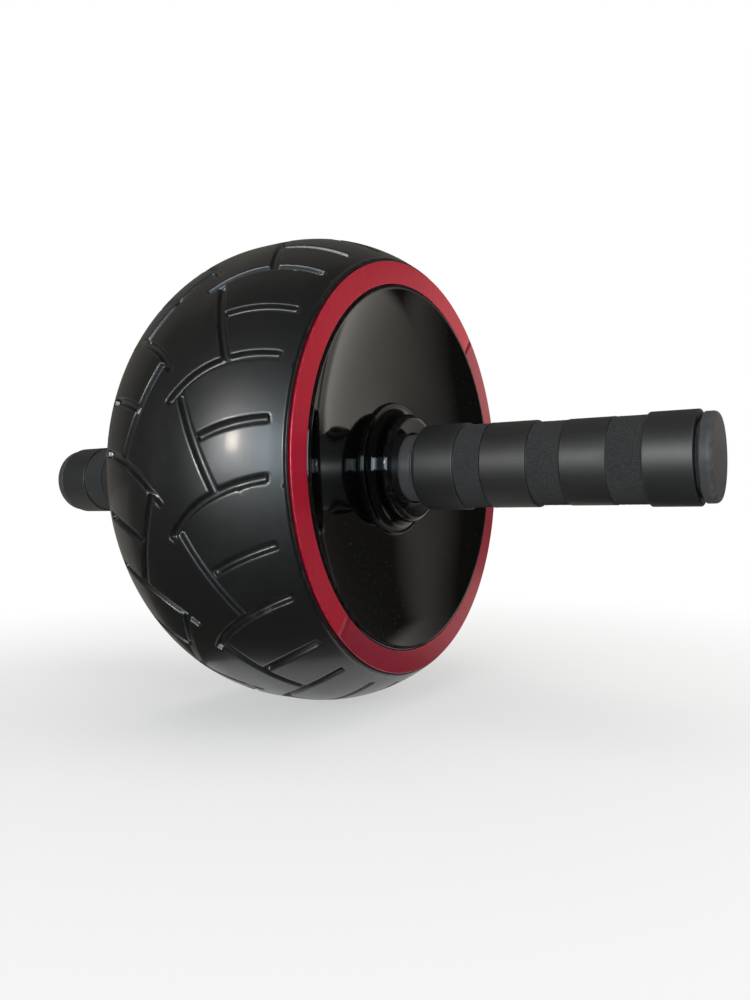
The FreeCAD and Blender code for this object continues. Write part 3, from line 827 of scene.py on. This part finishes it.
# %% Tyre sizes
tyre_radius = reach("tyre")[2]
tyre_half_width = reach("tyre")[1]
crown_flat = 8.0
crown_drop = 13.1
tread_thickness = 5.0
tyre_edge_round = 0.8
side_rim_width = 4.0
tread_units = 13
tread_phase_deg = 26.6
left_shift_deg = 20.5
groove_width = 2.6
groove_depth = 2.0
groove_corner = 0.6
unit_deg = 360.0 / tread_units
crown_arc = ((tyre_half_width - crown_flat / 2) ** 2 + crown_drop**2) / (2 * crown_drop)
print(f"tyre: radius {tyre_radius:.1f}, half width {tyre_half_width:.1f}, arc {crown_arc:.1f} mm")


def crown(along, inset=0.0):
    """Radius of the barrel at places along the axle, at a depth below the tread."""
    past_flat = np.maximum(np.abs(along) - crown_flat / 2, 0.0)
    return tyre_radius - crown_arc + np.sqrt((crown_arc - inset) ** 2 - past_flat**2)


def crown_lean(along):
    """Lean of the barrel's outward direction, in radians from straight out."""
    past_flat = np.maximum(np.abs(along) - crown_flat / 2, 0.0)
    return np.sign(along) * np.arcsin(past_flat / crown_arc)


# %% Groove paths
long_curve = ((-15.8, 37.0), (-13.4, 22.0), (-4.0, 1.0))
diagonal = ((-6.2, 5.6), (14.6, 20.8))
short_cross = ((-1.0, 37.0), (0.6, 26.0), (3.4, 14.6))
station_step = 1.25


def sketch(angle_deg, along):
    """Place on a flat sketch seen from above the crown."""
    return np.stack([crown(along) * np.sin(np.radians(angle_deg)), along], axis=-1)


def groove_line(path):
    """Evenly spaced points along a straight groove, or along the arc through three points."""
    points = sketch(*np.array(path).T)
    if len(points) == 2:
        steps = math.ceil(np.linalg.norm(points[1] - points[0]) / station_step)
        return points[0] + np.linspace(0, 1, steps + 1)[:, None] * (points[1] - points[0])
    chords = 2 * (points[1:] - points[0])
    centre = np.linalg.solve(chords, (points[1:] ** 2).sum(1) - (points[0] ** 2).sum())
    spokes = points - centre
    turns = np.unwrap(np.arctan2(spokes[:, 1], spokes[:, 0]))
    radius = np.linalg.norm(spokes[0])
    steps = math.ceil(abs(turns[2] - turns[0]) * radius / station_step)
    sweep = np.linspace(turns[0], turns[2], steps + 1)
    return centre + radius * np.stack([np.cos(sweep), np.sin(sweep)], axis=-1)


grooves = [groove_line(path) for path in (long_curve, diagonal, short_cross)]
print("grooves:", [len(line) for line in grooves], "stations each")


# %% Distance from the grooves
def wall_distance(points, line):
    """Signed distance of sketch points from one groove's wall, negative inside the groove."""
    step = np.diff(line, axis=0)
    length = np.linalg.norm(step, axis=1)
    before = np.cumsum(length) - length
    offset = points[:, None] - line[:-1]
    share = (offset * step).sum(-1) / length**2
    low, high = np.zeros(len(step)), np.ones(len(step))
    low[0], high[-1] = -np.inf, np.inf
    share = np.clip(share, low, high)
    gap = np.linalg.norm(offset - share[..., None] * step, axis=-1)
    nearest = gap.argmin(axis=1)
    rows = np.arange(len(points))
    run = before[nearest] + share[rows, nearest] * length[nearest]
    past_end = np.maximum(-run, run - length.sum()) + groove_corner
    past_side = gap[rows, nearest] - groove_width / 2 + groove_corner
    outside = np.hypot(np.maximum(past_end, 0), np.maximum(past_side, 0))
    return outside + np.minimum(np.maximum(past_end, past_side), 0) - groove_corner


def tread_distance(angle_deg, along):
    """Signed distance from the nearest groove wall, for places on the strip of one unit."""
    nearest = np.full(len(along), np.inf)
    for side, shift in ((1, 0.0), (-1, left_shift_deg - unit_deg)):
        for neighbour in (-1, 0, 1):
            places = sketch(angle_deg - shift - neighbour * unit_deg, side * along)
            for line in grooves:
                nearest = np.minimum(nearest, wall_distance(places, line))
    return nearest


# %% Rows of points along a groove
edge_out = 0.4
edge_in = -0.7
wall_levels = (1.2, 0.4, 0.22, 0.04, -0.15, -0.36, -0.7)
end_swings_deg = (22.5, 45.0, 67.5)
end_points = 4
end_columns = 12
border_step = 2.2
border_gap = 0.15
border_samples = 4001
level_slack = 0.04
end_margin = 0.4
side_margin_deg = 0.2
field_step = 2.6
field_row_share = 0.866
field_first_deg = 0.9
field_stagger_deg = 0.75
field_last_deg = 0.8
field_clear = 0.8

edge_run = tyre_half_width - tyre_edge_round - crown_flat / 2
edge_lean = math.asin(edge_run / (crown_arc - tyre_edge_round))
strip_end = tyre_half_width - tyre_edge_round + tyre_edge_round * math.sin(edge_lean)


def level_points(line, level):
    """Sketch points along both sides and round both ends of a groove, at a distance from its wall."""
    step = np.gradient(line, axis=0)
    step /= np.linalg.norm(step, axis=1)[:, None]
    normal = np.stack([-step[:, 1], step[:, 0]], axis=-1)
    half = groove_width / 2 + level
    straight = groove_width / 2 - groove_corner
    across = np.linspace(-straight, straight, end_points)
    parts = [line + normal * half, line - normal * half]
    for end, way in ((0, -1), (-1, 1)):
        ahead, aside = way * step[end], normal[end]
        parts.append(line[end] + ahead * level + across[:, None] * aside)
        swing = np.radians(end_swings_deg)[:, None]
        for side in (-1, 1):
            pivot = line[end] - ahead * groove_corner + side * straight * aside
            arc = np.cos(swing) * ahead + np.sin(swing) * side * aside
            parts.append(pivot + max(groove_corner + level, 0.0) * arc)
    return np.concatenate(parts)


# %% Points of one tread strip
def strip_points():
    """Angles and places of the strip's points, with the borders first."""
    half = unit_deg / 2
    fine = np.linspace(-strip_end, strip_end, border_samples)
    depth_there = tread_distance(np.full(len(fine), -half), fine)
    stops = [-strip_end, strip_end]
    for level in wall_levels:
        crossing = np.nonzero(np.diff(np.sign(depth_there - level)))[0]
        stops += list(fine[crossing])
    stops = np.sort(np.array(stops))
    border = [stops[0]]
    for stop in stops[1:]:
        gap = stop - border[-1]
        if gap < border_gap and stop < strip_end:
            continue
        border += list(np.linspace(border[-1], stop, math.ceil(gap / border_step) + 1)[1:])
    border = np.array(border)
    columns = np.linspace(-half, half, end_columns + 1)[1:-1]
    angles = [np.full(len(border), -half), np.full(len(border), half), columns, columns]
    places = [border, border, np.full(len(columns), -strip_end), np.full(len(columns), strip_end)]
    for side, shift in ((1, 0.0), (-1, left_shift_deg - unit_deg)):
        for line in grooves:
            centre = [line] + [level_points(line, level) for level in wall_levels]
            for level, points in zip((-groove_width / 2, *wall_levels), centre):
                along = side * points[:, 1]
                angle = np.degrees(np.arcsin(points[:, 0] / crown(along))) + shift
                angle = (angle + half) % unit_deg - half
                keep = np.abs(tread_distance(angle, along) - level) < level_slack
                keep &= np.abs(along) < strip_end - end_margin
                keep &= half - np.abs(angle) > side_margin_deg
                angles.append(angle[keep])
                places.append(along[keep])
    rows = np.arange(-strip_end + field_step / 2, strip_end, field_step * field_row_share)
    field_step_deg = math.degrees(field_step / tyre_radius)
    for number, along in enumerate(rows):
        first = -half + field_first_deg + field_stagger_deg * (number % 2)
        columns = np.arange(first, half - field_last_deg, field_step_deg)
        clear = tread_distance(columns, np.full(len(columns), along)) > wall_levels[0] + field_clear
        angles.append(columns[clear])
        places.append(np.full(clear.sum(), along))
    return np.concatenate(angles), np.concatenate(places)


strip_angle, strip_along = strip_points()
print("strip:", len(strip_angle), "points")

# %% Tread strip, sunk at its grooves
join_slack = 0.02
worn_middle = 0.25
worn_spread = 0.3


def crown_run(along):
    """Length along the barrel from its middle to a place along the axle."""
    return np.clip(along, -crown_flat / 2, crown_flat / 2) + crown_arc * crown_lean(along)


def strip_mesh():
    """Mesh of one tread strip at the top of the tyre, with marks for groove floors and edges."""
    flat = np.stack([np.radians(strip_angle) * tyre_radius, crown_run(strip_along)], axis=-1)
    corners = [Vector(place) for place in flat]
    _, _, faces, origin, _, _ = delaunay_2d_cdt(corners, [], [], 0, join_slack)
    kept = np.array([found[0] for found in origin])
    angle, along = strip_angle[kept], strip_along[kept]
    distance = tread_distance(angle, along)
    share = np.clip((edge_out - distance) / (edge_out - edge_in), 0, 1)
    sunk = share * share * (3 - 2 * share)
    lean = crown_lean(along)
    radius = crown(along) - groove_depth * sunk * np.cos(lean)
    across = along - groove_depth * sunk * np.sin(lean)
    turn = np.radians(angle)
    mesh = bpy.data.meshes.new("tread_strip")
    places = np.stack([radius * np.sin(turn), across, radius * np.cos(turn)], axis=-1) * MM
    mesh.from_pydata(places.tolist(), [], [list(face) for face in faces])
    worn = np.exp(-(((distance - worn_middle) / worn_spread) ** 2))
    for label, values in (("groove", sunk), ("edge", worn)):
        mesh.attributes.new(label, "FLOAT", "POINT").data.foreach_set("value", values)
    if sum(polygon.normal.z for polygon in mesh.polygons) < 0:
        mesh.flip_normals()
    return mesh


strip = strip_mesh()
print("strip:", len(strip.polygons), "triangles")

# %% Tyre from its strips and its turned inside
bore_points = 9
corner_share = 0.9
seam_weld = 0.01 * MM


def tyre_inside():
    """Outline from the right edge of the tread, over the side and the bore, to the left edge."""
    rim_place = tyre_half_width - side_rim_width
    rim_radius = float(crown(rim_place, tread_thickness))
    edge_radius = float(crown(strip_end))
    corner_radius = edge_radius - (tyre_half_width - strip_end) * math.tan(edge_lean)
    bore_places = np.linspace(rim_place, 0, bore_points)
    bore = [(float(crown(along, tread_thickness)), along) for along in bore_places]
    side = [
        (edge_radius, strip_end),
        (corner_radius, tyre_half_width, tyre_edge_round * corner_share),
        (rim_radius, tyre_half_width),
    ]
    right = rounded(side + bore)[1:]
    left = [(radius, -along, mark) for radius, along, mark in reversed(right[:-1])]
    start = (edge_radius, strip_end, 0.0)
    return [start] + right + left + [(edge_radius, -strip_end, 0.0)]


first_strip = math.radians(tread_phase_deg)
rubber = dict(Material=materials["tyre_rubber"])
tread = made_by(repeating, "tread", strip, Count=tread_units, First_Angle=first_strip, **rubber)
tyre = made_by(
    turning,
    "tyre_body",
    outline_mesh("tyre_inside", tyre_inside()),
    Segments=tread_units * end_columns,
    First_Angle=first_strip - math.radians(unit_deg / 2),
    **rubber,
)
shape = bmesh.new()
for part in (tread, tyre):
    shape.from_mesh(part.data)
bmesh.ops.remove_doubles(shape, verts=shape.verts, dist=seam_weld)
bmesh.ops.recalc_face_normals(shape, faces=shape.faces)
shape.to_mesh(tyre.data)
shape.free()
bpy.data.objects.remove(tread)
finish_piece(face_outwards(tyre), "wheel", "tyre_rubber", "tyre")

# %% [markdown]
# Each side cover is one turned shell: a thin rolled lip beside the red ring, a smooth bowl that is
# deepest near the middle, and a two-step boss that holds the bearing. Its gloss shows every flaw in
# the curve, so the bowl is one smooth curve of many rows, whose slope grows towards the lip.

# %% Side covers
cover_lip_round = 1.2
cover_lip_rise = 0.2
trim_clearance = 0.1
bowl_lip_deg = 22.0
bowl_foot_deg = 6.5
bowl_swell = 2.2
cover_wall = 2.6
boss_nose_radius = 21.8
boss_step_radius = 26.6
boss_face_dip = 0.5
boss_nose_round = 2.4
boss_nose_fillet = 3.4
boss_step_height = 1.2
boss_step_round = 0.5
boss_foot_fillet = 0.4
boss_bore = 14.0
boss_bore_round = 0.3
bearing_radius = 17.5
boss_front_wall = 3.3
cover_segments = 240
bowl_steps = 36

trim_low, trim_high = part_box("trim_front_right")
trim_points = frame["nodes"]["trim_front_right"].data.vertices
trim_radii = [math.hypot(point.co.x, point.co.z) / MM for point in trim_points]
trim_inner, trim_outer = min(trim_radii), max(trim_radii)
boss_face = reach("cover_right")[1]
cover_back = reach("cover_right")[3]


# %% Cover outline
def cover_outline():
    """Closed outline of the right cover, from its rim over lip, bowl and boss, and back behind."""
    seat = trim_inner - trim_clearance
    lip = (seat - cover_lip_round, tyre_half_width + cover_lip_rise)
    hub = boss_step_radius - cover_wall
    lean, foot_lean = math.radians(bowl_lip_deg), math.radians(bowl_foot_deg)
    brim = (lip[0] - cover_lip_round * math.sin(lean), lip[1] + cover_lip_round * math.cos(lean))
    foot = boss_step_radius + boss_foot_fillet * (1 + math.sin(foot_lean))
    lip_top = brim[1] + (seat - brim[0]) * math.tan(lean)
    radii = np.linspace(foot, brim[0], bowl_steps)
    slopes = foot_lean + (lean - foot_lean) * np.linspace(0, 1, bowl_steps) ** bowl_swell
    rises = np.cumsum(np.tan((slopes[1:] + slopes[:-1]) / 2) * np.diff(radii))
    places = brim[1] - rises[-1] + np.concatenate([[0.0], rises])
    bowl = list(zip(radii, places))[-2:0:-1]
    foot_place = places[0] - (foot - boss_step_radius) * math.tan(foot_lean)
    step_place = places[0] + boss_step_height
    rim_radius = float(crown(tyre_half_width - side_rim_width, tread_thickness))
    bearing_front = boss_face - boss_front_wall
    back_end = tyre_half_width - side_rim_width
    back_radii = radii + cover_wall * np.sin(slopes)
    back_places = places - cover_wall * np.cos(slopes)
    inner = back_places < back_end
    back = [(hub, back_places[0]), *zip(back_radii[inner], back_places[inner])]
    back.append((np.interp(back_end, back_places, back_radii), back_end))
    start = (rim_radius, back_end)
    corners = [
        start,
        (rim_radius, tyre_half_width),
        (seat, tyre_half_width),
        (seat, lip_top, cover_lip_round),
        *bowl,
        (boss_step_radius, foot_place, boss_foot_fillet),
        (boss_step_radius, step_place, boss_step_round),
        (boss_nose_radius, step_place, boss_nose_fillet),
        (boss_nose_radius, boss_face, boss_nose_round),
        (boss_bore, boss_face - boss_face_dip, boss_bore_round),
        (boss_bore, bearing_front),
        (bearing_radius, bearing_front),
        (bearing_radius, cover_back),
        (bearing_radius + cover_wall, cover_back),
        (bearing_radius + cover_wall, step_place - cover_wall),
        (hub, step_place - cover_wall),
        *back,
        start,
    ]
    return rounded(corners)


cover_mesh = outline_mesh("cover_outline", cover_outline())
turned_pair("cover_shell", cover_mesh, cover_segments, "wheel", "cover_gloss", "cover")

# %% [markdown]
# A trim ring is two half rings of thin film-faced strip, set in the shallow ledge between the tyre
# and the cover's lip. They meet at two fine seams. A half ring is the same turning with a shorter
# sweep, and its two ends are closed afterwards.

# %% Trim rings
trim_seam_deg = 138.0
trim_seam_gap_deg = 0.15
trim_edge_round = 0.22
trim_segments = 120


def trim_half(name, start_deg, material):
    """Half of the right trim ring, from its seam at an angle counted from the top to the front."""
    low, high = trim_low.y / MM, trim_high.y / MM
    corners = [
        (trim_inner, low),
        (trim_outer, low),
        (trim_outer, high, trim_edge_round),
        (trim_inner, high, trim_edge_round),
        (trim_inner, low),
    ]
    half = made_by(
        turning,
        name,
        outline_mesh(name + "_outline", rounded(corners)),
        Segments=trim_segments,
        First_Angle=math.radians(start_deg + trim_seam_gap_deg / 2),
        Sweep=math.radians(180 - trim_seam_gap_deg),
        Material=material,
    )
    shape = bmesh.new()
    shape.from_mesh(half.data)
    bmesh.ops.holes_fill(shape, edges=[edge for edge in shape.edges if edge.is_boundary])
    bmesh.ops.recalc_face_normals(shape, faces=shape.faces)
    shape.to_mesh(half.data)
    shape.free()
    return face_outwards(half)


# The front half takes the painted-highlight red, and the rear half the painted-shade red.
right_halves = {
    "front": trim_half("trim_half_front_right", trim_seam_deg - 180, materials["trim_red"]),
    "rear": trim_half("trim_half_rear_right", trim_seam_deg, materials["trim_painted_shade"]),
}
left_halves = {}
for half, piece in right_halves.items():
    left_halves[half] = other_side(piece, f"trim_half_{half}_left")
for side, halves in (("right", right_halves), ("left", left_halves)):
    for half, piece in halves.items():
        finish_piece(piece, "wheel", "trim_red", f"trim_{half}_{side}")

# %% [markdown]
# The handle core is a moulded tube. Only its neck shows, between the cover's boss and the foam, with
# a small rolled lip that the foam butts against.

# %% Handle cores
core_radius = 12.7
core_bore = 7.52
neck_radius = 13.4
neck_start_round = 0.3
neck_groove_width = 0.6
neck_groove_depth = 0.4
neck_groove_round = 0.15
neck_lip_rise = 1.0
neck_lip_length = 1.5
neck_lip_round = 0.6
nose_radius = 10.1
nose_length = 1.0
pocket_radius = 10.2
pocket_depth = 9.6
handle_segments = 128

grip_start = reach("foam_grip_right")[3]
core_end, core_start = reach("handle_core_right")[1], reach("handle_core_right")[3]


def core_outline():
    """Closed outline of the right core, from its nose over the neck and lip to the end pocket."""
    lip_start = grip_start - neck_lip_length
    lip = neck_radius + neck_lip_rise
    groove_start = lip_start - neck_groove_width
    groove_floor = neck_radius - neck_groove_depth
    corners = [
        (core_bore, core_start),
        (nose_radius, core_start),
        (nose_radius, core_start + nose_length),
        (neck_radius, core_start + nose_length, neck_start_round),
        (neck_radius, groove_start, neck_groove_round),
        (groove_floor, groove_start, neck_groove_round),
        (groove_floor, lip_start, neck_groove_round),
        (lip, lip_start, neck_lip_round),
        (lip, grip_start, neck_lip_round),
        (core_radius, grip_start),
        (core_radius, core_end),
        (pocket_radius, core_end),
        (pocket_radius, core_end - pocket_depth),
        (core_bore, core_end - pocket_depth),
        (core_bore, core_start),
    ]
    return rounded(corners)


core_mesh = outline_mesh("core_outline", core_outline())
turned_pair("core_tube", core_mesh, handle_segments, "axle_and_handles", "core_plastic", "handle_core")

# %% [markdown]
# The grip is a foam sleeve with four smooth bands, slimmest in the hand, and three ground bands
# sunk between them. The ground bands get rows of points close together, and the tree lifts and
# sinks them at random by a fraction of a millimetre, so their cells are real relief.

# %% Foam grips
smooth_lengths = (17.9, 17.5, 16.0, 16.0)
smooth_radii = (16.8, 16.1, 15.6, 16.3)
ground_lengths = (10.6, 12.1, 12.1)
ground_recess = 0.5
ground_foot_round = 0.15
grip_start_round = 2.2
grip_end_round = 0.4
band_edge_round = 0.3
cell_height_mm = 0.34
cell_scale = 1100.0
cell_seed = 7.0
cell_row = 0.5
cell_margin = 0.2
foam_clearance = 0.02
grip_segments = 200

ground_bands = []
for band, length in enumerate(ground_lengths):
    band_start = grip_start + sum(smooth_lengths[: band + 1]) + sum(ground_lengths[:band])
    ground_bands.append((band_start, band_start + length))


def grip_outline():
    """Closed outline of the right sleeve, with close rows of points on the ground bands."""
    bore = core_radius + foam_clearance
    grip_end = reach("foam_grip_right")[1]
    corners = [(bore, grip_start), (smooth_radii[0], grip_start, grip_start_round)]
    for (low, high), radius, next_radius in zip(ground_bands, smooth_radii, smooth_radii[1:]):
        sunk = (radius + next_radius) / 2 - ground_recess
        corners += [(radius, low, band_edge_round), (sunk, low, ground_foot_round)]
        corners += [(sunk, high, ground_foot_round), (next_radius, high, band_edge_round)]
    corners += [(smooth_radii[-1], grip_end, grip_end_round), (bore, grip_end), (bore, grip_start)]
    points = []
    for here, ahead in zip(rounded(corners), rounded(corners)[1:] + [None]):
        points.append(here)
        for low, high in ground_bands:
            if ahead and low < here[1] < ahead[1] < high and ahead[1] - here[1] > cell_row:
                rows = np.arange(here[1] + cell_row, ahead[1] - cell_row / 2, cell_row)
                points += [(here[0], row, 0.0) for row in rows]
    return points


cell_bands = [(low + cell_margin, high - cell_margin) for low, high in ground_bands]
grips = turned_pair(
    "foam_sleeve",
    outline_mesh("grip_outline", grip_outline(), cell_bands),
    grip_segments,
    "axle_and_handles",
    "grip_foam",
    "foam_grip",
    Grain_Height=cell_height_mm * MM,
    Grain_Scale=cell_scale,
    Grain_Seed=cell_seed,
)

# %% [markdown]
# A moulded cap closes each handle. A dark recess parts it from the foam, and its rim is rounded
# before the flat end face.

# %% End caps
cap_radius = 15.35
cap_length = 4.3
cap_recess_radius = 13.4
cap_recess_round = 0.1
cap_start_round = 0.3
cap_round = 1.8
cap_wall = 1.8
cap_plug_length = 5.0
cap_plug_clearance = 0.05


def cap_outline():
    """Outline of the right cap from the inside of its plug to the middle of its face."""
    end = reach("end_cap_right")[1]
    start = end - cap_length
    plug = pocket_radius - cap_plug_clearance
    plug_start = core_end - cap_plug_length
    corners = [
        (0.0, end - cap_wall),
        (plug - cap_wall, end - cap_wall),
        (plug - cap_wall, plug_start),
        (plug, plug_start),
        (plug, core_end),
        (cap_recess_radius, core_end),
        (cap_recess_radius, start, cap_recess_round),
        (cap_radius, start, cap_start_round),
        (cap_radius, end, cap_round),
        (0.0, end),
    ]
    return rounded(corners)


cap_mesh = outline_mesh("cap_outline", cap_outline())
turned_pair("cap_moulding", cap_mesh, handle_segments, "axle_and_handles", "cap_plastic", "end_cap")

# %% [markdown]
# The pieces inside keep their CAD shapes, which are right as they are: the drum, the bearings, the
# axle and the fasteners. They only take their finishes.

# %% Finishes of the inner pieces
dressed = 0
for subpart in frame["record"]["subparts"]:
    node = frame["nodes"][subpart["node"]]
    if node.hide_render:
        continue
    node.data.materials.clear()
    node.data.materials.append(materials[subpart["material_slot"]])
    dressed += 1
print("inner pieces:", dressed)
